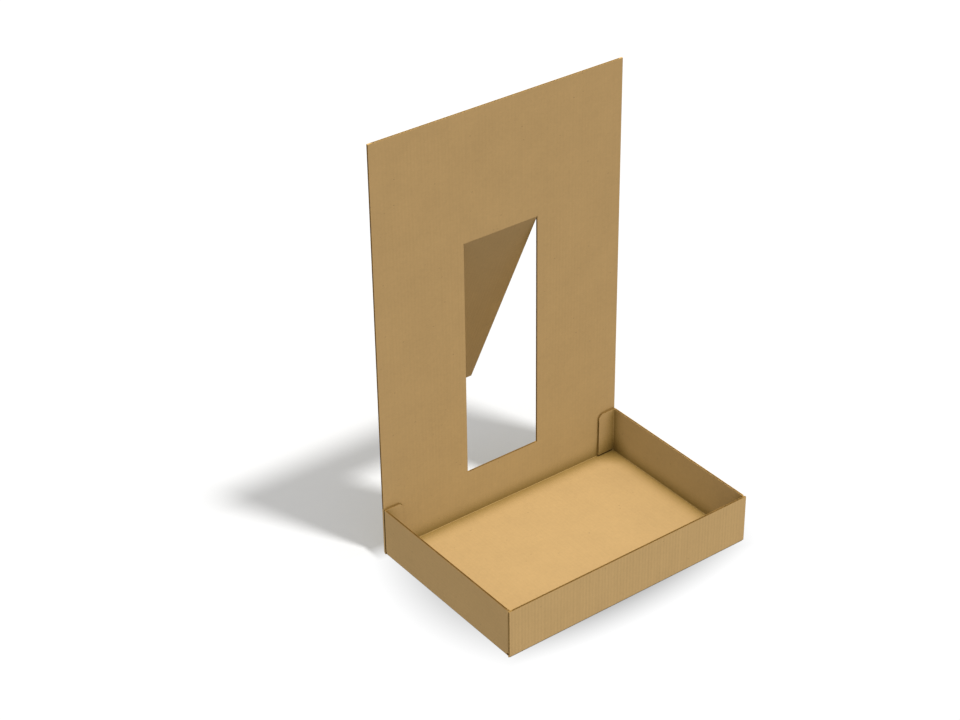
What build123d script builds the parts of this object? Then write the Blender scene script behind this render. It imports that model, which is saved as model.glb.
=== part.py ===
from build123d import *
import os
from math import cos, radians, sin, tan

# An easel-back counter display, made from one die-cut sheet of fluted board. The floor, walls and back
# panel are folded up from the sheet, tabs at the ends of the side walls are glued inside the front wall and
# the back panel, and the strut is cut out of the back panel on three sides and turned back about the fourth.
# Millimetres. Seen from the front, +X is to the right, +Y to the back and +Z up. The origin is on the table,
# under the middle of the tray.

# Sheet
board_thickness = 1.8
fold_inside_radius = 0.4
knife_gap = 0.4

# Tray, measured outside
tray_width = 260.0
tray_depth = 180.0
wall_height = 48.0

# Back panel and the strut cut out of it, with heights above the table
panel_height = 400.0
strut_fold_height = 280.0
window_width = 78.0
strut_angle = 25.0

# Glue tabs, with their reach measured from the outside of the side wall
tab_reach = 19.5
tab_corner_chamfer = 3.4
tab_foot_clearance = 1.6
front_tab_drop = 2.5

# Places that follow from the sizes
fold_outside_radius = fold_inside_radius + board_thickness
half_width = tray_width / 2
half_depth = tray_depth / 2
inside_half_depth = half_depth - board_thickness
side_wall_length = 2 * (inside_half_depth - fold_outside_radius)
tab_end = half_width - tab_reach
tab_inside_reach = tab_reach - board_thickness
tab_foot = board_thickness + tab_foot_clearance
tab_height = wall_height - tab_foot
strut_width = window_width - 2 * knife_gap
strut_length = strut_fold_height - wall_height - knife_gap


def folded_strip(plane, length, *outside_corners):
    """Strip of board along the corners of its outer face, with the board on their left and rounded folds."""
    outside = [Vector(*corner) for corner in outside_corners]
    runs = [(after - before).normalized() for before, after in zip(outside, outside[1:])]
    lefts = [Vector(-run.Y, run.X) for run in runs]
    mitres = [(before + after) / (1 + before.dot(after)) for before, after in zip(lefts, lefts[1:])]
    shifts = [lefts[0], *mitres, lefts[-1]]
    inside = [corner + shift * board_thickness for corner, shift in zip(outside, shifts)]
    section = make_face(Polyline(*outside, *reversed(inside), close=True))
    strip = extrude(plane.offset(-length / 2) * section, length)
    for corners, radius in ((outside, fold_outside_radius), (inside, fold_inside_radius)):
        fold_points = [plane.from_local_coords(corner) for corner in corners[1:-1]]
        folds = [strip.edges().sort_by_distance(point)[0] for point in fold_points]
        strip = fillet(folds, radius)
    return strip


def spine():
    """Front wall, floor and back panel: one strip as wide as the tray, folded up twice."""
    strip = folded_strip(
        Plane.YZ,
        tray_width,
        (-half_depth, wall_height),
        (-half_depth, 0),
        (half_depth, 0),
        (half_depth, panel_height),
    )
    floor_side = Rectangle(2 * fold_outside_radius, tray_depth - 2 * fold_outside_radius)
    side_cuts = [extrude(Pos(x) * floor_side, board_thickness, both=True) for x in (-half_width, half_width)]
    return strip - side_cuts


def side_wall():
    """Right side wall, folded up from the floor."""
    return folded_strip(
        Plane.XZ,
        side_wall_length,
        (half_width - 2 * fold_outside_radius, 0),
        (half_width, 0),
        (half_width, wall_height),
    )


def folded_tab():
    """Tab at the front end of the right side wall, as high as the wall, with half of the wall beside it."""
    return folded_strip(
        Plane.XY.offset(tab_foot + tab_height / 2),
        tab_height,
        (tab_end, -inside_half_depth),
        (half_width, -inside_half_depth),
        (half_width, 0),
    )


def chamfered(tab):
    """The tab with its upper free corner cut off."""
    upper_corner = tab.edges().filter_by(Axis.Y).group_by(Axis.X)[0].sort_by(Axis.Z)[-1]
    return chamfer(upper_corner, tab_corner_chamfer)


def front_tab():
    """Tab glued behind the front wall, cut lower than it so that it stays out of sight."""
    from_end = (Align.MIN, Align.CENTER, Align.CENTER)
    top_cut = Box(tab_inside_reach, tray_depth, 2 * front_tab_drop, align=from_end)
    return chamfered(folded_tab() - Pos(tab_end, 0, wall_height) * top_cut)


def rear_tab():
    """Tab glued to the front of the back panel, level with the top of the wall."""
    return mirror(chamfered(folded_tab()), about=Plane.XZ)


def window():
    """The hole that the strut leaves in the back panel."""
    panel_plane = Plane.XZ.offset(-half_depth)
    outline = Rectangle(window_width, strut_fold_height - wall_height, align=(Align.CENTER, Align.MIN))
    return extrude(panel_plane * Pos(0, wall_height) * outline, board_thickness, both=True)


def strut():
    """Strut, with the fold at its upper end and the stretch of panel above the fold."""
    fold_corner = strut_fold_height - fold_outside_radius * tan(radians(strut_angle) / 2)
    free_end = (
        inside_half_depth + strut_length * sin(radians(strut_angle)),
        fold_corner - strut_length * cos(radians(strut_angle)),
    )
    return folded_strip(
        Plane.YZ,
        strut_width,
        (inside_half_depth, strut_fold_height + board_thickness),
        (inside_half_depth, fold_corner),
        free_end,
    )


def display_board():
    """The whole sheet, folded and glued."""
    right_side = side_wall() + front_tab() + rear_tab()
    left_side = mirror(right_side, about=Plane.YZ)
    return spine() - window() + [right_side, left_side, strut()]


os.makedirs("parts", exist_ok=True)
export_step(display_board(), "parts/display_board.step")
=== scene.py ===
"""An easel-back counter display, folded from one sheet of corrugated board, dressed for a studio picture."""

from collections import namedtuple
from math import ceil, cos, floor, pi, radians, tan

import bmesh
import bpy
from bpy.props import FloatProperty, FloatVectorProperty, IntProperty, PointerProperty
from mathutils import Matrix, Vector
from mathutils.geometry import delaunay_2d_cdt


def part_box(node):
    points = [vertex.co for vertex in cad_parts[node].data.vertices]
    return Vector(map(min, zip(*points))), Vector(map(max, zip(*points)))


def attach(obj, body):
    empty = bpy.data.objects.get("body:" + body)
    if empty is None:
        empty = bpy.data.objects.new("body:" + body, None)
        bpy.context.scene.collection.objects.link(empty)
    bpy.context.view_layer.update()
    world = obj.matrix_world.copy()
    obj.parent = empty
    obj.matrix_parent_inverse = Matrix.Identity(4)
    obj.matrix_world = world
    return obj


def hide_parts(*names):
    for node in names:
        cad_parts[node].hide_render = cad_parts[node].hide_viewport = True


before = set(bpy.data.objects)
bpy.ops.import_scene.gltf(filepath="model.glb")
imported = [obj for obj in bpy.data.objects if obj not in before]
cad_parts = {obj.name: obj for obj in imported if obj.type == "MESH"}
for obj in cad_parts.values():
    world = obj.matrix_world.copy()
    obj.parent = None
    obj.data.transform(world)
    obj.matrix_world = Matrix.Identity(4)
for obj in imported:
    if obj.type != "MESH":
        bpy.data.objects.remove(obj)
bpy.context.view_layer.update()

bl_info = {
    "name": "Easel-back display",
    "version": (1, 0, 0),
    "blender": (4, 5, 0),
    "location": "View3D > Sidebar > Display",
    "description": "Folds a counter display from one sheet of corrugated board and sets it in a white studio",
    "category": "Object",
}

NODE = "display_board"
BODY = "root"
PIECE = "folded_board"

BOARD_LOW, BOARD_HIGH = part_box(NODE)

# After the raw edge paper come a lighter and a darker copy of it: painted highlight and painted shade
OUTER, INNER, CUT, PAINTED_LIT_CUT, PAINTED_SHADE_CUT, FLUTING = range(6)
BLANK = "blank"
MILLIMETRE = 0.001
SAME_PLACE = 1e-6
FULL_TURN = 2 * pi
WHITE = (1, 1, 1, 1)

# Folds and cut edges
CORNER_TURN = radians(1)
SHARP_TURN = radians(30)
FLAT_FACE_WEIGHT = 100
OPEN_FLUTE_SHARE = 0.84
GROOVE_END_SHARE = 0.25
SHORTEST_OPEN_PITCHES = 3

# Paper patterns: repeats for each metre, or a turn and the repeats along x, y and z
CLOUD_SCALE = 30.0
FORMATION_SCALE = 320.0
GRAIN_SCALE = 900.0
PATCH_SCALE = 90.0
LONG_FIBRE_STRETCH = (radians(4), 340.0, 3400.0, 800.0)
STRAY_FIBRE_STRETCH = (radians(-28), 420.0, 3000.0, 800.0)
SHIVE_STRETCH = (radians(12), 60.0, 150.0, 60.0)
BAND_STRETCH = (0.0, 340.0, 6.0, 0.0)

# What the patterns do: two values of the pattern, and what it becomes there
CLOUD_TONE = (0.3, 0.7, 0.975, 1.025)
FORMATION_TONE = (0.3, 0.7, -0.03, 0.03)
BAND_SWING = (0.3, 0.7, -0.9, 0.9)
LONG_FIBRE_MIX = (0.56, 0.72, 0.0, 0.22)
STRAY_FIBRE_MIX = (0.60, 0.74, 0.0, 0.16)
SHIVE_MIX = (0.035, 0.06, 0.5, 0.0)
GRAIN_MIX = (0.3, 0.7, 0.0, 1.0)
PATCH_MIX = (0.35, 0.65, 0.0, 0.3)

# Brightness of fibres, shives, grain and patches, as shares of the paper's own
LONG_FIBRE_SHARE = 0.72
STRAY_FIBRE_SHARE = 1.18
SHIVE_SHARE = 0.4
GRAIN_LOW_SHARE = 0.75
GRAIN_HIGH_SHARE = 1.25
PATCH_SHARE = 1.4

# Relief of the paper in millimetres, and its gloss
FORMATION_RELIEF = 0.05
FIBRE_RELIEF = 0.02
GRAIN_RELIEF = 0.06
LINER_GLOSS = 0.2
RAW_GLOSS = 0.1
CORNER_SAMPLES = 8

# Stage
SHADE_CURVE = 1.3
LONG_OVAL_SHARE = 2
TRAY_EDGE = 0.001
SHADOW_LEAD_SHARE = 1 / 3
SENSOR_WIDTH = 36
NEAREST_SEEN = 0.01
FARTHEST_SEEN = 100


# Settings that a user would change

class BoardSizes(bpy.types.PropertyGroup):
    """Sizes of the sheet and of its folds, as the board was cut."""

    thickness: FloatProperty(
        name="Board thickness",
        description="Thickness of the board, liners included",
        default=0.0018, min=0.0005, unit="LENGTH", precision=5,
    )
    fold_inside_radius: FloatProperty(
        name="Fold radius",
        description="Radius on the inside of every fold",
        default=0.0004, min=0.0001, unit="LENGTH", precision=5,
    )
    knife_gap: FloatProperty(
        name="Knife gap",
        description="Width of the cut round the strut",
        default=0.0004, min=0.0001, unit="LENGTH", precision=5,
    )
    tray_width: FloatProperty(
        name="Tray width",
        description="Outside width of the tray and of the back panel",
        default=BOARD_HIGH[0] - BOARD_LOW[0], min=0.05, unit="LENGTH", precision=4,
    )
    tray_depth: FloatProperty(
        name="Tray depth",
        description="Outside depth of the tray, back panel included",
        default=-2 * BOARD_LOW[1], min=0.05, unit="LENGTH", precision=4,
    )
    wall_height: FloatProperty(
        name="Wall height",
        description="Height of the front and side walls above the table",
        default=0.048, min=0.02, unit="LENGTH", precision=4,
    )
    panel_height: FloatProperty(
        name="Panel height",
        description="Height of the back panel above the table",
        default=BOARD_HIGH[2], min=0.1, unit="LENGTH", precision=4,
    )
    strut_fold_height: FloatProperty(
        name="Strut fold height",
        description="Height of the fold that the strut turns about",
        default=0.28, min=0.08, unit="LENGTH", precision=4,
    )
    window_width: FloatProperty(
        name="Window width",
        description="Width of the window that the strut leaves in the back panel",
        default=0.078, min=0.02, unit="LENGTH", precision=4,
    )
    strut_angle: FloatProperty(
        name="Strut angle",
        description="Angle by which the strut is turned back",
        default=radians(25), min=0.0, max=radians(80), subtype="ANGLE",
    )
    tab_reach: FloatProperty(
        name="Tab reach",
        description="Reach of a glue tab from the outside of its side wall",
        default=0.0195, min=0.008, unit="LENGTH", precision=4,
    )
    tab_chamfer: FloatProperty(
        name="Tab chamfer",
        description="Chamfer on the upper free corner of a glue tab",
        default=0.0034, min=0.0005, unit="LENGTH", precision=4,
    )
    tab_foot_clearance: FloatProperty(
        name="Tab foot clearance",
        description="Gap between the floor and the foot of a glue tab",
        default=0.0016, min=0.0005, unit="LENGTH", precision=4,
    )
    front_tab_drop: FloatProperty(
        name="Front tab drop",
        description="How far the front tabs stay below the top of the wall, out of sight",
        default=0.0025, min=0.0005, unit="LENGTH", precision=4,
    )
    glue_line: FloatProperty(
        name="Glue line",
        description="Thickness of the glue between a tab and the face that it is stuck to",
        default=0.00005, min=0.00001, unit="LENGTH", precision=5,
    )
    fold_steps: IntProperty(
        name="Fold steps",
        description="Number of flat faces round each fold",
        default=8, min=2, max=32,
    )


class FluteSizes(bpy.types.PropertyGroup):
    """The fluted sheet between the liners, as it shows at the cut edges."""

    pitch: FloatProperty(
        name="Flute pitch",
        description="Distance from one flute to the next",
        default=0.0034, min=0.001, unit="LENGTH", precision=5,
    )
    liner: FloatProperty(
        name="Liner thickness",
        description="Thickness of each of the two flat liners",
        default=0.00022, min=0.00005, unit="LENGTH", precision=5,
    )
    medium: FloatProperty(
        name="Medium thickness",
        description="Thickness of the fluted sheet",
        default=0.00018, min=0.00005, unit="LENGTH", precision=5,
    )
    open_depth: FloatProperty(
        name="Open depth",
        description="How far the open flutes reach into an edge that is cut across them",
        default=0.0025, min=0.001, unit="LENGTH", precision=4,
    )
    groove_depth: FloatProperty(
        name="Groove depth",
        description="Greatest depth of the groove in an edge that is cut along the flutes",
        default=0.0012, min=0.0005, unit="LENGTH", precision=4,
    )
    crushed_end: FloatProperty(
        name="Crushed end",
        description="Length at both ends of a cut edge where the knife has closed the flutes",
        default=0.0014, min=0.0005, unit="LENGTH", precision=4,
    )
    wave_steps: IntProperty(
        name="Wave steps",
        description="Number of straight steps along one open flute",
        default=10, min=4, max=40,
    )


class BoardFinish(bpy.types.PropertyGroup):
    """Colours and surface of the kraft paper."""

    outer_colour: FloatVectorProperty(
        name="Outer liner",
        description="Colour of the liner on the outside of the tray and the back of the panel",
        default=(0.598, 0.389, 0.164), min=0.0, max=1.0, subtype="COLOR",
    )
    inner_colour: FloatVectorProperty(
        name="Inner liner",
        description="Colour of the liner on the inside of the tray and the front of the panel",
        default=(0.527, 0.337, 0.140), min=0.0, max=1.0, subtype="COLOR",
    )
    cut_colour: FloatVectorProperty(
        name="Cut edge",
        description="Colour of the raw edges of the paper",
        default=(0.306, 0.177, 0.050), min=0.0, max=1.0, subtype="COLOR",
    )
    # Painted highlight: a lighter copy of the edge paper, on edges that look lit
    painted_lit_edge_colour: FloatVectorProperty(
        name="Pale edge",
        description="Colour of the raw edges on the panel's top, right wall's top and front wall's ends",
        default=(0.660, 0.420, 0.150), min=0.0, max=1.0, subtype="COLOR",
    )
    # Painted shade: a darker copy of the edge paper on the tabs' tops and chamfers and on the folds' ends
    painted_shade_edge_colour: FloatVectorProperty(
        name="Crushed edge",
        description="Colour of the edges that the knife has crushed, on the tabs and their folds",
        default=(0.180, 0.098, 0.025), min=0.0, max=1.0, subtype="COLOR",
    )
    fluting_colour: FloatVectorProperty(
        name="Fluting",
        description="Colour inside the open flutes",
        default=(0.360, 0.205, 0.056), min=0.0, max=1.0, subtype="COLOR",
    )
    roughness: FloatProperty(
        name="Roughness",
        description="Roughness of the paper",
        default=0.85, min=0.0, max=1.0, subtype="FACTOR",
    )
    outer_washboard: FloatProperty(
        name="Outer flute lines",
        description="How strongly the flutes show through the outer liner",
        default=0.028, min=0.0, max=0.5, subtype="FACTOR",
    )
    side_washboard: FloatProperty(
        name="Side flute lines",
        description="Share of the flute lines that is left on the side walls",
        default=0.3, min=0.0, max=1.0, subtype="FACTOR",
    )
    inner_washboard: FloatProperty(
        name="Inner flute lines",
        description="How strongly the flutes show through the inner liner",
        default=0.008, min=0.0, max=0.5, subtype="FACTOR",
    )
    inner_bounce: FloatVectorProperty(
        name="Inner bounce",
        description="Colour in which the inner liner throws light on the board",
        default=(0.410, 0.360, 0.235), min=0.0, max=1.0, subtype="COLOR",
    )
    outer_bounce: FloatVectorProperty(
        name="Outer bounce",
        description="Colour in which the outer liner throws light on the board",
        default=(1.0, 0.865, 0.555), min=0.0, max=1.0, subtype="COLOR",
    )
    # Painted shade: the inner liner's colour is darkened in the tray's corners, where shade falls
    corner_shade: FloatVectorProperty(
        name="Corner shade",
        description="How strongly red, green and blue fade on the inner liner in the corners of the tray",
        default=(1.50, 1.62, 2.7), min=0.0, max=4.0, subtype="XYZ",
    )
    corner_reach: FloatProperty(
        name="Corner reach",
        description="How far from a corner the inner liner starts to darken",
        default=0.024, min=0.001, unit="LENGTH", precision=4,
    )
    corner_start: FloatProperty(
        name="Corner start",
        description="Share of open surroundings below which the inner liner darkens",
        default=0.80, min=0.1, max=1.0, subtype="FACTOR",
    )


class StudioSettings(bpy.types.PropertyGroup):
    """Light, floor and camera."""

    key_strength: FloatProperty(
        name="Key light",
        description="Strength of the key light",
        default=2.666, min=0.0,
    )
    key_direction: FloatVectorProperty(
        name="Key direction",
        description="Direction from the display towards the key light",
        default=(0.0, -0.312, 0.950), subtype="DIRECTION",
    )
    shadow_direction: FloatVectorProperty(
        name="Shadow direction",
        description="Direction from the display towards the light that throws its shadow on the floor",
        default=(0.169, -0.370, 0.914), subtype="DIRECTION",
    )
    light_spread: FloatProperty(
        name="Light spread",
        description="Angle that each light fills, which softens its shadows",
        default=radians(6), min=0.0, max=radians(90), subtype="ANGLE",
    )
    fill_strength: FloatProperty(
        name="Fill light",
        description="Strength of the even light from all round",
        default=0.667, min=0.0,
    )
    floor_bounce: FloatProperty(
        name="Floor bounce",
        description="Share of light that the floor throws back onto the display",
        default=0.245, min=0.0, max=1.0, subtype="FACTOR",
    )
    floor_white: FloatProperty(
        name="Floor white",
        description="How bright the open floor is to the camera, where 1 is white",
        default=1.04, min=0.0,
    )
    floor_glow: FloatProperty(
        name="Floor glow",
        description="Part of the floor's white that stays where the display shades it",
        default=0.10, min=0.0, max=1.0, subtype="FACTOR",
    )
    # Painted shade: the floor's soft shades round the tray are painted into its white, not cast by the lamps
    front_shade: FloatProperty(
        name="Front shade",
        description="Strength of the soft shade at the foot of the front wall",
        default=0.47, min=0.0, max=1.0, subtype="FACTOR",
    )
    front_reach: FloatProperty(
        name="Front reach",
        description="How far the soft shade reaches from the front wall",
        default=0.032, min=0.001, unit="LENGTH", precision=4,
    )
    side_shade: FloatProperty(
        name="Side shade",
        description="Strength of the soft shade at the foot of a side wall",
        default=0.325, min=0.0, max=1.0, subtype="FACTOR",
    )
    side_reach: FloatProperty(
        name="Side reach",
        description="How far the soft shade reaches from a side wall",
        default=0.045, min=0.001, unit="LENGTH", precision=4,
    )
    # Painted shadow: the floor under the tray is painted dark
    under_tray: FloatProperty(
        name="Under the tray",
        description="Brightness of the floor under the tray, where the corner slots show it",
        default=0.1, min=0.0, max=1.0, subtype="FACTOR",
    )
    shadow_start: FloatProperty(
        name="Shadow start",
        description="Distance about the back panel over which the soft shade gives way to the thrown shadow",
        default=0.02, min=0.001, unit="LENGTH", precision=4,
    )
    floor_size: FloatProperty(
        name="Floor size",
        description="Width of the square floor",
        default=40.0, min=1.0, unit="LENGTH",
    )
    camera_place: FloatVectorProperty(
        name="Camera place",
        description="Place of the camera",
        default=(-0.9818, -1.2022, 1.1788), subtype="TRANSLATION", unit="LENGTH",
    )
    camera_azimuth: FloatProperty(
        name="Camera azimuth",
        description="Turn of the camera about the upright, from straight in front",
        default=radians(-36.591), subtype="ANGLE",
    )
    camera_elevation: FloatProperty(
        name="Camera elevation",
        description="How steeply the camera looks down",
        default=radians(32.374), subtype="ANGLE",
    )
    camera_roll: FloatProperty(
        name="Camera roll",
        description="Turn of the camera about its own view",
        default=radians(0.816), subtype="ANGLE",
    )
    focal_length: FloatProperty(
        name="Focal length",
        description="Focal length in millimetres for a sensor 36 mm wide",
        default=82.79, min=1.0,
    )


# Walking round the folds

Station = namedtuple("Station", "near far flat")
SheetPoint = namedtuple("SheetPoint", "outer inner u v")


class Walk:
    """Follows one face of the board in a plane, with the board on its left, and notes stations on the way."""

    def __init__(self, sizes, start, heading):
        self.sizes = sizes
        self.at = Vector(start)
        self.heading = Vector(heading)
        self.flat = 0.0
        self.stations = []
        self.note()

    def left(self):
        return Vector((-self.heading.y, self.heading.x))

    def note(self):
        far = self.at + self.left() * self.sizes.thickness
        self.stations.append(Station(self.at.copy(), far, self.flat))

    def run(self, *lengths):
        """Goes straight on, with a station after each length."""
        for length in lengths:
            self.at = self.at + self.heading * length
            self.flat += length
            self.note()
        return self

    def fold(self, angle):
        """Goes round a fold to the left, with the walked face on its outside."""
        radius = self.sizes.fold_inside_radius + self.sizes.thickness
        step = angle / self.sizes.fold_steps
        turn = Matrix.Rotation(step, 2)
        centre = self.at + self.left() * radius
        for _ in range(self.sizes.fold_steps):
            self.at = centre + turn @ (self.at - centre)
            self.heading = turn @ self.heading
            self.flat += (radius - self.sizes.thickness / 2) * step
            self.note()
        return self

    def rows(self):
        """Number of rows of cells so far."""
        return len(self.stations) - 1


class Sheet:
    """The folded sheet as cells between points, where each point has a place on both liners."""

    def __init__(self):
        self.points = []
        self.cells = []
        self.closed = set()
        self.marked = {PAINTED_LIT_CUT: set(), PAINTED_SHADE_CUT: set()}
        self.known = {}

    def point(self, outer, inner, u, v):
        key = tuple(round(value / SAME_PLACE) for value in (*outer, *inner))
        if key not in self.known:
            self.known[key] = len(self.points)
            self.points.append(SheetPoint(outer, inner, u, v))
        return self.known[key]

    def cell(self, corners):
        """Adds a cell, with its corners counter-clockwise as seen from outside."""
        first, second, *_, last = [self.points[corner] for corner in corners]
        normal = (second.outer - first.outer).cross(last.outer - first.outer)
        outward = first.outer - first.inner
        self.cells.append(corners if normal.dot(outward) > 0 else corners[::-1])

    def grid(self, walk, columns, place, blank, near_is_outer=True):
        """Points at each station of a walk and each column across it."""
        rows = []
        for station in walk.stations:
            outer, inner = (station.near, station.far) if near_is_outer else (station.far, station.near)
            rows.append([
                self.point(place(outer, column), place(inner, column), *blank(station.flat, column))
                for column in columns
            ])
        return rows

    def strip(self, walk, columns, place, blank, near_is_outer=True, missing=lambda row, column: False):
        """Fills a walk's grid with cells, apart from the missing ones."""
        rows = self.grid(walk, columns, place, blank, near_is_outer)
        for row, (here, there) in enumerate(zip(rows, rows[1:])):
            for column in range(len(columns) - 1):
                if not missing(row, column):
                    self.cell([here[column], here[column + 1], there[column + 1], there[column]])
        return rows

    def cut_edges(self):
        """Runs of points along each straight cut edge, with the sheet on their left as seen from outside."""
        directed = {(a, b) for cell in self.cells for a, b in zip(cell, cell[1:] + cell[:1])}
        following = {a: b for a, b in directed if (b, a) not in directed}
        edges = []
        while following:
            loop = [next(iter(following))]
            while loop[-1] in following:
                loop.append(following.pop(loop[-1]))
            corners = [
                i for i in range(len(loop) - 1)
                if self.breaks(loop[i - 1 if i else -2], loop[i], loop[i + 1])
            ]
            loop = loop[corners[0]:-1] + loop[:corners[0] + 1]
            stops = [corner - corners[0] for corner in corners] + [len(loop) - 1]
            edges += [loop[start:end + 1] for start, end in zip(stops, stops[1:])]
        return edges

    def breaks(self, before, at, after):
        """Whether a cut edge turns at a point, or goes there from closed to open."""
        into = self.points[at].outer - self.points[before].outer
        out = self.points[after].outer - self.points[at].outer
        return into.angle(out) > CORNER_TURN or self.is_closed(before, at) != self.is_closed(at, after)

    def is_closed(self, *points):
        return self.closed.issuperset(points)

    def edge_paper(self, run):
        """The paper that shows along a cut edge."""
        return next((paper for paper, points in self.marked.items() if points.issuperset(run)), CUT)


# Folding the display

def signed(values):
    """Values in rising order, on both sides of zero."""
    return [-value for value in reversed(values)] + list(values)


def fold_sheet(sizes):
    """Lays out the whole board: the spine, then what is folded up, in or back from it."""
    sheet = Sheet()
    radius = sizes.fold_inside_radius + sizes.thickness
    quarter = radians(90)
    half_width = sizes.tray_width / 2
    half_depth = sizes.tray_depth / 2
    floor_edge = half_width - radius
    floor_end = half_depth - radius
    wall_end = floor_end - sizes.thickness - sizes.glue_line
    strut_edge = sizes.window_width / 2 - sizes.knife_gap

    # The spine is the front wall, the floor and the back panel
    spine = Walk(sizes, (-half_depth, sizes.wall_height), (0, -1))
    spine.run(sizes.wall_height - radius).fold(quarter)
    floor_row = spine.rows()
    floor_flat = spine.flat
    spine.run(floor_end - wall_end, 2 * wall_end, floor_end - wall_end)
    back_row = spine.rows()
    window_rise = sizes.strut_fold_height - sizes.wall_height
    spine.fold(quarter).run(sizes.wall_height - radius)
    window_row = spine.rows()
    spine.run(window_rise)
    strut_flat = spine.flat
    spine.run(sizes.panel_height - sizes.strut_fold_height)
    spine_columns = signed([strut_edge, sizes.window_width / 2, floor_edge, half_width])
    last_column = len(spine_columns) - 2

    def cut_from_spine(row, column):
        beside_floor = floor_row <= row < back_row and column in (0, last_column)
        middle = (spine_columns[column] + spine_columns[column + 1]) / 2
        in_window = row == window_row and abs(middle) < sizes.window_width / 2
        return beside_floor or in_window

    spine_points = sheet.strip(
        spine, spine_columns,
        place=lambda at, x: Vector((x, at.x, at.y)),
        blank=lambda flat, x: (x, flat),
        missing=cut_from_spine,
    )
    # Behind the side walls, the liner is drawn over the panel's edges
    for points in spine_points[back_row:window_row + 1]:
        sheet.closed.update((points[0], points[-1]))
    # Painted highlight: the panel's top and the front wall's ends get a lighter copy of the edge paper
    painted_lit, darkened = sheet.marked[PAINTED_LIT_CUT], sheet.marked[PAINTED_SHADE_CUT]
    painted_lit.update(spine_points[-1])
    for points in spine_points[:floor_row + 1]:
        painted_lit.update((points[0], points[-1]))

    # The strut keeps the spine's board and hangs from the upper edge of the window
    strut = Walk(sizes, (half_depth - sizes.thickness, sizes.strut_fold_height), (0, -1))
    strut_run = window_rise - sizes.knife_gap - radius * tan(sizes.strut_angle / 2)
    strut.fold(sizes.strut_angle).run(strut_run)
    sheet.strip(
        strut, signed([strut_edge]),
        place=lambda at, x: Vector((x, at.x, at.y)),
        blank=lambda flat, x: (x, strut_flat - flat),
        near_is_outer=False,
    )

    def flat_at(y):
        return floor_flat + floor_end + y

    # Levels that the walls and the glue tabs share
    front, rear = -1, 1
    left, right = -1, 1
    tops = {front: sizes.wall_height - sizes.front_tab_drop, rear: sizes.wall_height}
    shoulders = {end: top - sizes.tab_chamfer for end, top in tops.items()}
    tab_foot = sizes.thickness + sizes.tab_foot_clearance
    tab_levels = sorted({tab_foot, *tops.values(), *shoulders.values()})
    wall_levels = [radius, *tab_levels]
    for side in (left, right):
        # A side wall is folded up from the floor
        wall = Walk(sizes, (floor_edge, 0), (1, 0)).fold(quarter)
        wall_flat = floor_edge + wall.flat - radius
        wall.run(*[after - before for before, after in zip(wall_levels, wall_levels[1:])])
        wall_points = sheet.strip(
            wall, signed([wall_end]),
            place=lambda at, y: Vector((side * at.x, y, at.y)),
            blank=lambda flat, y: (side * (floor_edge + flat), flat_at(y)),
        )
        # Painted highlight: the right wall's top gets the lighter edge paper too
        if side == right:
            painted_lit.update(wall_points[-1])
        # A glue tab is folded in from each end of the wall
        for end in (front, rear):
            top = tab_levels.index(tops[end])
            shoulder = tab_levels.index(shoulders[end])
            tab = Walk(sizes, (half_width, wall_end), (0, 1)).fold(quarter)
            cut_row = tab.rows() - 1
            tab.run(sizes.tab_reach - radius - sizes.tab_chamfer, sizes.tab_chamfer)
            last_row = tab.rows() - 1
            rows = sheet.strip(
                tab, tab_levels,
                place=lambda at, z: Vector((side * at.x, end * at.y, z)),
                blank=lambda flat, z: (side * (wall_flat + z), flat_at(end * wall_end) + end * flat),
                missing=lambda row, level: row >= cut_row and level >= (shoulder if row == last_row else top),
            )
            before_chamfer, last = rows[-2:]
            sheet.cell([*before_chamfer[shoulder:top + 1], last[shoulder]])
            # Painted shade: the tab's top and chamfer, and all folds' ends but the front right one, get the
            # darker edge paper and no open flutes
            darkened.update((rows[cut_row + 1][top], before_chamfer[top], last[shoulder]))
            if (side, end) != (right, front):
                darkened.update(points[-1] for points in rows[1:cut_row + 2])
    return sheet


# Cut edges

def open_flutes(flutes, thickness, u_start, u_end, length):
    """Outlines of the flutes in an edge cut across them: distances along it, heights through the board."""
    swing = (thickness - 2 * flutes.liner - flutes.medium) / 2
    half_pitch = flutes.pitch / 2
    half_open = OPEN_FLUTE_SHARE * half_pitch
    outlines = []
    low, high = sorted((u_start, u_end))
    for index in range(ceil(low / half_pitch), floor(high / half_pitch) + 1):
        steps = [half_open * (2 * step / flutes.wave_steps - 1) for step in range(flutes.wave_steps + 1)]
        wave = [(step, swing * (1 + cos(pi * step / half_pitch))) for step in steps]
        outline = [(-half_open, 0.0), *wave, (half_open, 0.0)]
        outline = [((index * half_pitch + u - u_start) / (u_end - u_start) * length, flutes.liner + c)
                   for u, c in outline]
        if index % 2:
            outline = [(s, thickness - c) for s, c in outline]
        ends = [s for s, _ in outline]
        if min(ends) > flutes.crushed_end and max(ends) < length - flutes.crushed_end:
            outlines.append((outline, flutes.open_depth))
    return outlines


def flute_grooves(flutes, thickness, u, inward, length):
    """Outlines of the grooves in an edge cut along the flutes, on either side of the fluted sheet."""
    swing = (thickness - 2 * flutes.liner - flutes.medium) / 2
    outer_gap = swing * (1 + cos(FULL_TURN * u / flutes.pitch))
    inner_gap = 2 * swing - outer_gap
    start = GROOVE_END_SHARE * flutes.crushed_end
    end = length - start
    shallowest = 2 * flutes.medium
    outlines = []
    for low, gap, closing_share in (
        (flutes.liner, outer_gap, 0.5),
        (thickness - flutes.liner - inner_gap, inner_gap, 0.0),
    ):
        if gap > flutes.medium:
            depth = (((closing_share - u / flutes.pitch) * inward) % 1) * flutes.pitch
            depth = min(max(depth, shallowest), flutes.groove_depth)
            outlines.append(([(start, low), (end, low), (end, low + gap), (start, low + gap)], depth))
    return outlines


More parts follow.
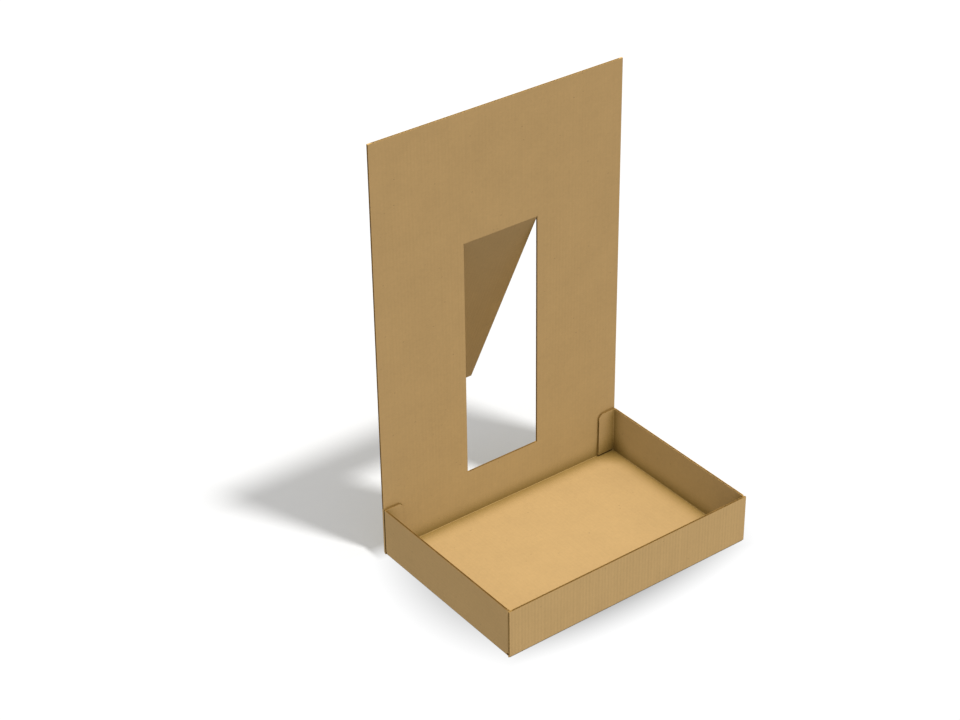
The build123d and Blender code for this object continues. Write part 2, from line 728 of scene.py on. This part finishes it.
class BoardMesh:
    """Turns a folded sheet into a closed mesh, with the flutes open at the cut edges."""

    def __init__(self, sheet, sizes, flutes):
        self.sheet = sheet
        self.sizes = sizes
        self.flutes = flutes
        self.bm = bmesh.new()
        self.blank = self.bm.verts.layers.float_vector.new(BLANK)
        self.outer, self.inner = {}, {}
        for index in sorted({corner for cell in sheet.cells for corner in cell}):
            point = sheet.points[index]
            self.outer[index] = self.vertex(point.outer, point.u, point.v, 0.0)
            self.inner[index] = self.vertex(point.inner, point.u, point.v, sizes.thickness)

    def vertex(self, place, u, v, height):
        vertex = self.bm.verts.new(place)
        vertex[self.blank] = (u, v, height)
        return vertex

    def face(self, vertices, material):
        self.bm.faces.new(vertices).material_index = material

    def liners(self):
        for cell in self.sheet.cells:
            self.face([self.outer[i] for i in cell], OUTER)
            self.face([self.inner[i] for i in reversed(cell)], INNER)

    def openings(self, first, last, length):
        """Outlines of what the knife opened in a cut edge between two points."""
        along_u = last.u - first.u
        along_v = last.v - first.v
        if length < SHORTEST_OPEN_PITCHES * self.flutes.pitch:
            return []
        if abs(along_v) < SAME_PLACE:
            return open_flutes(self.flutes, self.sizes.thickness, first.u, last.u, length)
        if abs(along_u) < SAME_PLACE:
            inward = -1 if along_v > 0 else 1
            return flute_grooves(self.flutes, self.sizes.thickness, first.u, inward, length)
        return []

    def cut_edge(self, run):
        """Closes the board along a straight run of points."""
        first, last = self.sheet.points[run[0]], self.sheet.points[run[-1]]
        along = last.outer - first.outer
        length = along.length
        along.normalize()
        through = (first.inner - first.outer).normalized()
        inward = along.cross(through)
        border = [self.outer[i] for i in run] + [self.inner[i] for i in reversed(run)]
        if self.sheet.is_closed(*run):
            self.face(border, OUTER)
            return
        places = [(along.dot(v.co - first.outer), through.dot(v.co - first.outer)) for v in border]
        vertices = list(border)
        loops = [list(range(len(border)))]
        paper = self.sheet.edge_paper(run)
        openings = [] if paper == PAINTED_SHADE_CUT else self.openings(first, last, length)
        for outline, depth in openings:
            rim, bottom = [], []
            for s, c in outline:
                share = s / length
                u = first.u + share * (last.u - first.u)
                v = first.v + share * (last.v - first.v)
                place = first.outer + along * s + through * c
                rim.append(self.vertex(place, u, v, c))
                bottom.append(self.vertex(place + inward * depth, u, v + depth, c))
            loops.append(list(range(len(vertices), len(vertices) + len(rim))))
            vertices += rim
            places += outline
            self.pocket(rim, bottom)
        if openings:
            self.pierced_face(vertices, places, loops, paper)
        else:
            self.face(border, paper)

    def pocket(self, rim, bottom):
        """Walls and end of one open flute."""
        for i in range(len(rim)):
            self.face([rim[i - 1], rim[i], bottom[i], bottom[i - 1]], FLUTING)
        self.face(bottom, FLUTING)

    def pierced_face(self, vertices, places, loops, paper):
        """Fills the first loop, apart from the others."""
        flat = [Vector(place) / MILLIMETRE for place in places]
        triangles_outside_holes = 2
        _, _, faces, origins, _, _ = delaunay_2d_cdt(flat, [], loops, triangles_outside_holes, SAME_PLACE)
        for face in faces:
            self.face([vertices[origins[corner][0]] for corner in face], paper)

    def finished(self, name):
        self.liners()
        for run in self.sheet.cut_edges():
            self.cut_edge(run)
        bmesh.ops.recalc_face_normals(self.bm, faces=self.bm.faces)
        mesh = bpy.data.meshes.new(name)
        self.bm.to_mesh(mesh)
        self.bm.free()
        return mesh


def shade_folds(board):
    """Rounds the folds by their normals, and keeps the flat faces flat and the cut edges sharp."""
    mesh = board.data
    mesh.shade_smooth()
    mesh.set_sharp_from_angle(angle=SHARP_TURN)
    weighted = board.modifiers.new("flat_faces", "WEIGHTED_NORMAL")
    weighted.keep_sharp = True
    weighted.weight = FLAT_FACE_WEIGHT


# Materials

class Nodes:
    """Short ways to add nodes to a material or a world."""

    def __init__(self, owner):
        owner.use_nodes = True
        self.owner = owner
        self.tree = owner.node_tree
        self.tree.nodes.clear()

    def add(self, kind, settings=None, **inputs):
        """Adds a node. Inputs are sockets to link or values, under Blender's names with _ for a space."""
        node = self.tree.nodes.new(kind)
        for name, value in (settings or {}).items():
            setattr(node, name, value)
        for name, value in inputs.items():
            self.give(node.inputs[name.replace("_", " ")], value)
        return node

    def give(self, socket, value):
        if isinstance(value, bpy.types.NodeSocket):
            self.tree.links.new(value, socket)
        else:
            socket.default_value = value

    def math(self, operation, *values):
        node = self.add("ShaderNodeMath", {"operation": operation})
        for socket, value in zip(node.inputs, values):
            self.give(socket, value)
        return node.outputs[0]

    def scaled(self, value, low, high, to_low, to_high):
        node = self.add("ShaderNodeMapRange", Value=value)
        for name, number in (("From Min", low), ("From Max", high), ("To Min", to_low), ("To Max", to_high)):
            node.inputs[name].default_value = number
        return node.outputs[0]

    def mixed(self, factor, first, second, blend="MIX"):
        node = self.add("ShaderNodeMix", {"data_type": "RGBA", "blend_type": blend})
        colour_inputs = [socket for socket in node.inputs if socket.type == "RGBA"]
        self.give(node.inputs[0], factor)
        self.give(colour_inputs[0], first)
        self.give(colour_inputs[1], second)
        return next(socket for socket in node.outputs if socket.type == "RGBA")

    def shaders(self, factor, first, second):
        node = self.add("ShaderNodeMixShader", Fac=factor)
        self.give(node.inputs[1], first.outputs[0])
        self.give(node.inputs[2], second.outputs[0])
        return node

    def blank(self):
        """Place on the flat blank, and the height through the board."""
        return self.add("ShaderNodeAttribute", {"attribute_name": BLANK}).outputs["Vector"]

    def seen(self):
        """1 for a ray that the camera looks along, straight or by way of gloss or glass, and 0 for others."""
        path = self.add("ShaderNodeLightPath").outputs
        either = self.math("MAXIMUM", path["Is Camera Ray"], path["Is Glossy Ray"])
        return self.math("MAXIMUM", either, path["Is Transmission Ray"])

    def noise(self, vector, scale, detail, roughness):
        node = self.add("ShaderNodeTexNoise", Vector=vector, Scale=scale, Detail=detail, Roughness=roughness)
        return node.outputs["Fac"]

    def stretched(self, vector, turn, *scales):
        node = self.add("ShaderNodeMapping", Vector=vector, Rotation=(0, 0, turn), Scale=scales)
        return node.outputs[0]

    def streaks(self, vector, stretch, detail):
        return self.noise(self.stretched(vector, *stretch), scale=1.0, detail=detail, roughness=0.5)

    def surface(self, colour, roughness, height, gloss):
        bump = self.add("ShaderNodeBump", Height=height, Distance=MILLIMETRE, Strength=1.0)
        shader = self.add(
            "ShaderNodeBsdfPrincipled",
            Base_Color=colour, Roughness=roughness, Specular_IOR_Level=gloss, Normal=bump.outputs[0],
        )
        self.add("ShaderNodeOutputMaterial", Surface=shader.outputs[0])
        return self.owner


def opaque(colour, factor=1.0):
    return (*[channel * factor for channel in colour], 1.0)


def kraft_liner(name, colour, washboard, bounce, finish, flutes, corner_shade=None):
    """Kraft paper: fibres across the flutes, clouds, shives, and the flutes showing unevenly through it; with
    corner_shade, painted shade in the corners.
    """
    nodes = Nodes(bpy.data.materials.new(name))
    blank = nodes.blank()
    across = nodes.add("ShaderNodeSeparateXYZ", Vector=blank).outputs[0]

    clouds = nodes.noise(blank, scale=CLOUD_SCALE, detail=3.0, roughness=0.55)
    formation = nodes.noise(blank, scale=FORMATION_SCALE, detail=5.0, roughness=0.65)
    long_fibres = nodes.streaks(blank, LONG_FIBRE_STRETCH, detail=2.0)
    stray_fibres = nodes.streaks(blank, STRAY_FIBRE_STRETCH, detail=2.0)
    shives = nodes.add("ShaderNodeTexVoronoi", Vector=nodes.stretched(blank, *SHIVE_STRETCH), Scale=1.0)
    bands = nodes.streaks(blank, BAND_STRETCH, detail=1.0)

    wave = nodes.math("COSINE", nodes.math("MULTIPLY", across, FULL_TURN / flutes.pitch))
    wave = nodes.math("ADD", wave, nodes.scaled(bands, *BAND_SWING))
    on_side = nodes.math("GREATER_THAN", nodes.math("ABSOLUTE", across), BOARD_HIGH[0])
    strength = nodes.scaled(on_side, 0.0, 1.0, washboard, washboard * finish.side_washboard)
    ribs = nodes.math("MULTIPLY", wave, strength)

    tone = nodes.math("ADD", nodes.scaled(clouds, *CLOUD_TONE), nodes.scaled(formation, *FORMATION_TONE))
    tone = nodes.math("ADD", tone, ribs)
    tones = [tone, tone, tone]
    # Painted shade: occlusion darkens the inner liner's colour in the corners, browner where deepest
    if corner_shade:
        corners = nodes.add(
            "ShaderNodeAmbientOcclusion", {"samples": CORNER_SAMPLES, "only_local": True},
            Distance=finish.corner_reach,
        )
        openness = nodes.scaled(corners.outputs["AO"], 0.0, finish.corner_start, 0.0, 1.0)
        tones = [nodes.math("MULTIPLY", tone, nodes.math("POWER", openness, power)) for power in corner_shade]
    shade = nodes.add("ShaderNodeCombineColor", Red=tones[0], Green=tones[1], Blue=tones[2]).outputs[0]

    paper = opaque(colour)
    for mix, share in (
        (nodes.scaled(long_fibres, *LONG_FIBRE_MIX), LONG_FIBRE_SHARE),
        (nodes.scaled(stray_fibres, *STRAY_FIBRE_MIX), STRAY_FIBRE_SHARE),
        (nodes.scaled(shives.outputs["Distance"], *SHIVE_MIX), SHIVE_SHARE),
    ):
        paper = nodes.mixed(mix, paper, opaque(colour, share))
    paper = nodes.mixed(1.0, paper, shade, "MULTIPLY")
    bounced = nodes.add("ShaderNodeLightPath").outputs["Is Diffuse Ray"]
    paper = nodes.mixed(bounced, paper, opaque(bounce))

    height = nodes.math("ADD", ribs, nodes.math("MULTIPLY", formation, FORMATION_RELIEF))
    height = nodes.math("ADD", height, nodes.math("MULTIPLY", long_fibres, FIBRE_RELIEF))
    return nodes.surface(paper, finish.roughness, height, LINER_GLOSS)


def raw_paper(name, colour, finish):
    """Cut edges and the fluted sheet: coarse brown paper, torn by the knife."""
    nodes = Nodes(bpy.data.materials.new(name))
    blank = nodes.blank()
    grain = nodes.noise(blank, scale=GRAIN_SCALE, detail=4.0, roughness=0.6)
    patches = nodes.noise(blank, scale=PATCH_SCALE, detail=2.0, roughness=0.5)
    dark, light = opaque(colour, GRAIN_LOW_SHARE), opaque(colour, GRAIN_HIGH_SHARE)
    paper = nodes.mixed(nodes.scaled(grain, *GRAIN_MIX), dark, light)
    paper = nodes.mixed(nodes.scaled(patches, *PATCH_MIX), paper, opaque(colour, PATCH_SHARE))
    height = nodes.math("MULTIPLY", grain, GRAIN_RELIEF)
    return nodes.surface(paper, finish.roughness, height, RAW_GLOSS)


# Stage

def shade_oval(nodes, place, half_width, half_depth, at_foot, shade):
    """Brightness of the floor in an oval about the tray, which falls below 1 towards the foot of a wall:
    painted soft shade.
    """
    oval = nodes.stretched(place, 0.0, 1 / half_width, 1 / half_depth, 0.0)
    inside = nodes.add("ShaderNodeTexGradient", {"gradient_type": "SPHERICAL"}, Vector=oval).outputs["Fac"]
    towards_foot = nodes.math("POWER", nodes.math("DIVIDE", inside, at_foot), SHADE_CURVE)
    return nodes.math("MULTIPLY_ADD", towards_foot, -shade, 1.0)


def soft_shade(nodes, place, studio):
    """Brightness of the floor with painted soft shade: a shallow oval along the front wall, cut short by one
    along the sides.
    """
    half_width, half_depth = BOARD_HIGH[0], -BOARD_LOW[1]
    front, side = half_depth + studio.front_reach, half_width + studio.side_reach
    front_foot, side_foot = studio.front_reach / front, studio.side_reach / side
    long_width, long_depth = LONG_OVAL_SHARE * half_width, LONG_OVAL_SHARE * half_depth
    front_oval = shade_oval(nodes, place, long_width, front, front_foot, studio.front_shade)
    side_oval = shade_oval(nodes, place, side, long_depth, side_foot, studio.side_shade)
    return nodes.math("MAXIMUM", front_oval, side_oval)


def covered(nodes, x, y):
    """1 on the floor under the tray, and 0 elsewhere."""
    within_width = nodes.math("LESS_THAN", nodes.math("ABSOLUTE", x), BOARD_HIGH[0] - TRAY_EDGE)
    within_depth = nodes.math("LESS_THAN", nodes.math("ABSOLUTE", y), -BOARD_LOW[1] - TRAY_EDGE)
    return nodes.math("MULTIPLY", within_width, within_depth)


def open_floor_light(studio):
    """Light on the open floor, from the light that throws the shadow and from the fill."""
    upright = Vector(studio.shadow_direction).normalized().z
    return studio.key_strength * upright / pi + studio.fill_strength


def white_floor(studio):
    """A floor that is white to the camera and keeps the panel's shadow; in front of the panel its soft shade
    and the shadow under the tray are painted, and to the display it glows weakly in place of the light it
    would throw back.
    """
    nodes = Nodes(bpy.data.materials.new("studio_floor"))
    white = studio.floor_white
    open_light = open_floor_light(studio)
    place = nodes.add("ShaderNodeNewGeometry").outputs["Position"]
    x, y, _ = nodes.add("ShaderNodeSeparateXYZ", Vector=place).outputs

    lit = (white - studio.floor_glow) / open_light
    shadowed = nodes.add("ShaderNodeBsdfDiffuse", Color=(lit, lit, lit, 1))
    glow = nodes.add("ShaderNodeEmission", Color=WHITE, Strength=studio.floor_glow)
    behind = nodes.add("ShaderNodeAddShader")
    nodes.give(behind.inputs[0], shadowed.outputs[0])
    nodes.give(behind.inputs[1], glow.outputs[0])

    # Painted shadow: the floor's white is darkened under the tray
    white_with_painted_under_shadow = nodes.scaled(covered(nodes, x, y), 0.0, 1.0, white, white * studio.under_tray)
    brightness = nodes.math("MULTIPLY", soft_shade(nodes, place, studio), white_with_painted_under_shadow)
    # In front of the panel the floor is emission with painted soft shade, not lit by the lamps
    in_front = nodes.add("ShaderNodeEmission", Color=WHITE, Strength=brightness)

    start = -BOARD_LOW[1] - SHADOW_LEAD_SHARE * studio.shadow_start
    past_panel = nodes.scaled(y, start, start + studio.shadow_start, 0.0, 1.0)
    chosen = nodes.shaders(past_panel, in_front, behind)
    # To the display the floor glows evenly, shadow or not, standing in for the light it would throw back
    floor_bounce_glow = nodes.add("ShaderNodeEmission", Color=WHITE, Strength=studio.floor_bounce * open_light)
    floor_shader = nodes.shaders(nodes.seen(), floor_bounce_glow, chosen)
    nodes.add("ShaderNodeOutputMaterial", Surface=floor_shader.outputs[0])
    return nodes.owner


def lay_floor(studio):
    half = studio.floor_size / 2
    mesh = bpy.data.meshes.new("studio_floor")
    corners = [(-half, -half, 0), (half, -half, 0), (half, half, 0), (-half, half, 0)]
    mesh.from_pydata(corners, [], [(0, 1, 2, 3)])
    mesh.materials.append(white_floor(studio))
    floor_object = bpy.data.objects.new("studio_floor", mesh)
    bpy.context.scene.collection.objects.link(floor_object)
    return floor_object


def hang_light(name, direction, studio, lit):
    """A distant light that falls on one object only."""
    lamp = bpy.data.lights.new(name, "SUN")
    lamp.energy = studio.key_strength
    lamp.angle = studio.light_spread
    light = bpy.data.objects.new(name, lamp)
    towards = Vector(direction)
    light.location = towards
    light.rotation_mode = "QUATERNION"
    light.rotation_quaternion = towards.to_track_quat("Z", "Y")
    bpy.context.scene.collection.objects.link(light)
    receivers = bpy.data.collections.new(name + "_falls_on")
    receivers.objects.link(lit)
    light.light_linking.receiver_collection = receivers


def fill_world(studio):
    """Even light from all round, which is plain white where it is seen."""
    world = bpy.data.worlds.new("studio")
    nodes = Nodes(world)
    fill = nodes.add("ShaderNodeBackground", Color=WHITE, Strength=studio.fill_strength)
    white = nodes.add("ShaderNodeBackground", Color=WHITE, Strength=1.0)
    chosen = nodes.shaders(nodes.seen(), fill, white)
    nodes.add("ShaderNodeOutputWorld", Surface=chosen.outputs[0])
    bpy.context.scene.world = world


def set_camera(studio):
    lens = bpy.data.cameras.new("camera")
    lens.sensor_width = SENSOR_WIDTH
    lens.lens = studio.focal_length
    lens.clip_start, lens.clip_end = NEAREST_SEEN, FARTHEST_SEEN
    camera = bpy.data.objects.new("camera", lens)
    turn = Matrix.Rotation(studio.camera_azimuth, 4, "Z")
    tilt = Matrix.Rotation(radians(90) - studio.camera_elevation, 4, "X")
    roll = Matrix.Rotation(-studio.camera_roll, 4, "Z")
    camera.matrix_world = Matrix.Translation(studio.camera_place) @ turn @ tilt @ roll
    bpy.context.scene.collection.objects.link(camera)
    bpy.context.scene.camera = camera


# Operators, panel and registration

class OBJECT_OT_fold_display_board(bpy.types.Operator):
    """Fold the display from its sheet, with open flutes at the cut edges and kraft liners"""

    bl_idname = "object.fold_display_board"
    bl_label = "Fold the Board"
    bl_options = {"REGISTER", "UNDO"}

    def execute(self, context):
        scene = context.scene
        sizes, flutes, finish = scene.display_sizes, scene.display_flutes, scene.display_finish
        mesh = BoardMesh(fold_sheet(sizes), sizes, flutes).finished(PIECE)
        mesh.materials.append(kraft_liner(
            "outer_liner", finish.outer_colour, finish.outer_washboard, finish.outer_bounce, finish, flutes
        ))
        mesh.materials.append(kraft_liner(
            "inner_liner", finish.inner_colour, finish.inner_washboard, finish.inner_bounce, finish, flutes,
            finish.corner_shade,
        ))
        # Two of the edge papers are lighter and darker copies of the raw one: painted highlight and painted
        # shade
        for name, colour in (
            ("raw_edge", finish.cut_colour),
            ("painted_lit_edge", finish.painted_lit_edge_colour),
            ("painted_shade_edge", finish.painted_shade_edge_colour),
            ("fluting", finish.fluting_colour),
        ):
            mesh.materials.append(raw_paper(name, colour, finish))
        board = bpy.data.objects.new(PIECE, mesh)
        scene.collection.objects.link(board)
        shade_folds(board)
        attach(board, BODY)
        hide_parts(NODE)
        return {"FINISHED"}


class OBJECT_OT_set_display_stage(bpy.types.Operator):
    """Set up the white floor, the soft light and the camera"""

    bl_idname = "object.set_display_stage"
    bl_label = "Set the Stage"
    bl_options = {"REGISTER", "UNDO"}

    def execute(self, context):
        studio = context.scene.display_studio
        studio_floor = lay_floor(studio)
        hang_light("key_light", studio.key_direction, studio, bpy.data.objects[PIECE])
        hang_light("shadow_light", studio.shadow_direction, studio, studio_floor)
        fill_world(studio)
        set_camera(studio)
        context.scene.view_settings.view_transform = "Standard"
        return {"FINISHED"}


class VIEW3D_PT_display(bpy.types.Panel):
    """Settings and steps of the display"""

    bl_label = "Easel-back Display"
    bl_idname = "VIEW3D_PT_display"
    bl_space_type = "VIEW_3D"
    bl_region_type = "UI"
    bl_category = "Display"

    def draw(self, context):
        scene = context.scene
        for title, group in (
            ("Board", scene.display_sizes),
            ("Flutes", scene.display_flutes),
            ("Finish", scene.display_finish),
            ("Studio", scene.display_studio),
        ):
            box = self.layout.box()
            box.label(text=title)
            for name in group.__annotations__:
                box.prop(group, name)
        self.layout.operator(OBJECT_OT_fold_display_board.bl_idname)
        self.layout.operator(OBJECT_OT_set_display_stage.bl_idname)


GROUPS = {
    "display_sizes": BoardSizes,
    "display_flutes": FluteSizes,
    "display_finish": BoardFinish,
    "display_studio": StudioSettings,
}
CLASSES = (*GROUPS.values(), OBJECT_OT_fold_display_board, OBJECT_OT_set_display_stage, VIEW3D_PT_display)


def register():
    for cls in CLASSES:
        bpy.utils.register_class(cls)
    for name, group in GROUPS.items():
        setattr(bpy.types.Scene, name, PointerProperty(type=group))


def unregister():
    for name in GROUPS:
        delattr(bpy.types.Scene, name)
    for cls in reversed(CLASSES):
        bpy.utils.unregister_class(cls)


def main():
    register()
    bpy.ops.object.fold_display_board()
    bpy.ops.object.set_display_stage()


if __name__ == "__main__":
    main()
